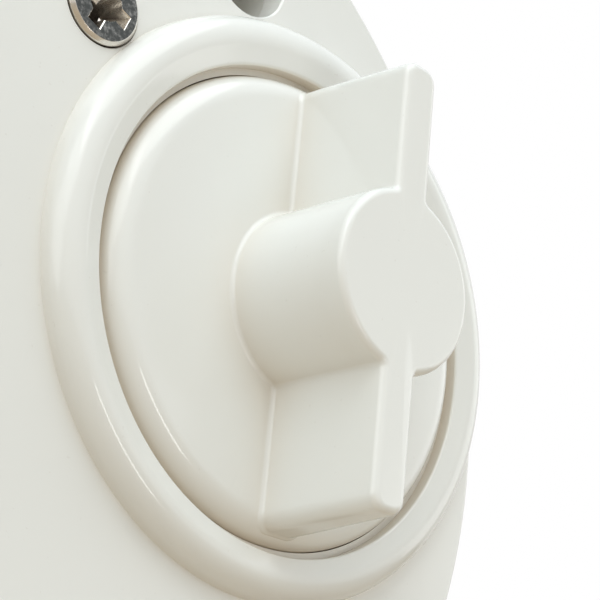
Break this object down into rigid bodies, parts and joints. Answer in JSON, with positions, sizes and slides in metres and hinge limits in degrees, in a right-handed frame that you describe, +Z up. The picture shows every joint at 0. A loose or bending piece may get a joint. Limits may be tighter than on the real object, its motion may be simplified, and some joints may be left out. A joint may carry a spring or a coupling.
{
  "type": "pull cord switch",
  "caption": "Round surface-mounted pull cord switch with an off-centre wing turn knob in a raised ring, geared to a cam, sliding contacts and a sprung cord drum.",
  "frame": {"origin": "centre of the round back face, where it lies flat on the wall", "axes": "+Y into the wall, so the front looks along -Y; +Z up, with the cord outlet at the bottom; +X to the right as seen from the front"},
  "size_m": [0.094, 0.0498, 0.0981],
  "materials": {
    "gloss_white": "glossy moulded white plastic",
    "white_moulding": "smooth moulded white plastic",
    "grey_rubber": "matt moulded rubber",
    "nickel": "nickel-plated steel",
    "steel": "plain turned and blanked steel",
    "spring_steel": "spring steel",
    "amber_moulding": "self-lubricating moulding",
    "black_moulding": "thermoset moulding",
    "copper": "copper strip with silver-faced rivets",
    "brass": "machined brass",
    "shield_moulding": "pale translucent moulding"
  },
  "bodies": {
    "housing": {"front_cover": "gloss_white", "base_plate": "white_moulding", "upper_fixing_sleeve": "white_moulding", "lower_fixing_sleeve": "white_moulding", "cord_guide": "white_moulding", "cover_seal": "grey_rubber", "cable_grommet": "grey_rubber", "spindle_seal": "grey_rubber", "cover_screw_1": "nickel", "cover_screw_2": "nickel", "cover_screw_3": "nickel", "terminal_screw_1": "nickel", "terminal_screw_2": "nickel", "terminal_screw_3": "nickel", "terminal_screw_4": "nickel", "earth_screw": "nickel", "rewind_spring": "spring_steel", "detent_spring_upper": "spring_steel", "detent_spring_lower": "spring_steel", "carrier_spring": "spring_steel", "front_bush": "amber_moulding", "rear_bush": "amber_moulding", "mechanism_frame": "black_moulding", "contact_block": "black_moulding", "fixed_contact_1": "copper", "fixed_contact_2": "copper", "fixed_contact_3": "copper", "fixed_contact_4": "copper", "terminal_1": "brass", "terminal_2": "brass", "terminal_3": "brass", "terminal_4": "brass", "earth_terminal": "brass", "arc_shield": "shield_moulding"},
    "knob": {"turn_knob": "gloss_white", "spindle": "steel", "spindle_clip": "steel", "cam_rotor": "black_moulding", "detent_wheel": "amber_moulding", "ratchet_wheel": "steel"},
    "drum": {"cord_drum": "white_moulding", "pawl_pin": "steel"},
    "pawl": {"drive_pawl": "steel"},
    "carrier": {"contact_carrier": "amber_moulding", "moving_contact_upper": "copper", "moving_contact_lower": "copper"}
  },
  "joints": [
    {"name": "knob_turn", "type": "hinge", "parent": "housing", "child": "knob", "pos_m": [0.02102, -0.03, 0.00659], "axis": [0, -1, 0], "range_deg": [0, 90], "deforming": ["detent_spring_upper", "detent_spring_lower"]},
    {"name": "carrier_slide", "type": "slide", "parent": "housing", "child": "carrier", "axis": [-1, 0, 0], "range_m": [0, 0.00305], "deforming": ["carrier_spring"]},
    {"name": "drum_turn", "type": "hinge", "parent": "housing", "child": "drum", "pos_m": [0.02102, -0.0243, 0.00659], "axis": [0, -1, 0], "range_deg": [0, 90], "stiffness_Nm_per_rad": 0.012, "deforming": ["rewind_spring"]},
    {"name": "pawl_drop", "type": "hinge", "parent": "drum", "child": "pawl", "pos_m": [0.01906, -0.0198, 0.01772], "axis": [0, -1, 0], "range_deg": [0, 8], "stiffness_Nm_per_rad": 0.005}
  ],
  "couplings": [
    {"joint": "carrier_slide", "follows": "knob_turn", "m_per_rad": 0.0019099}
  ]
}
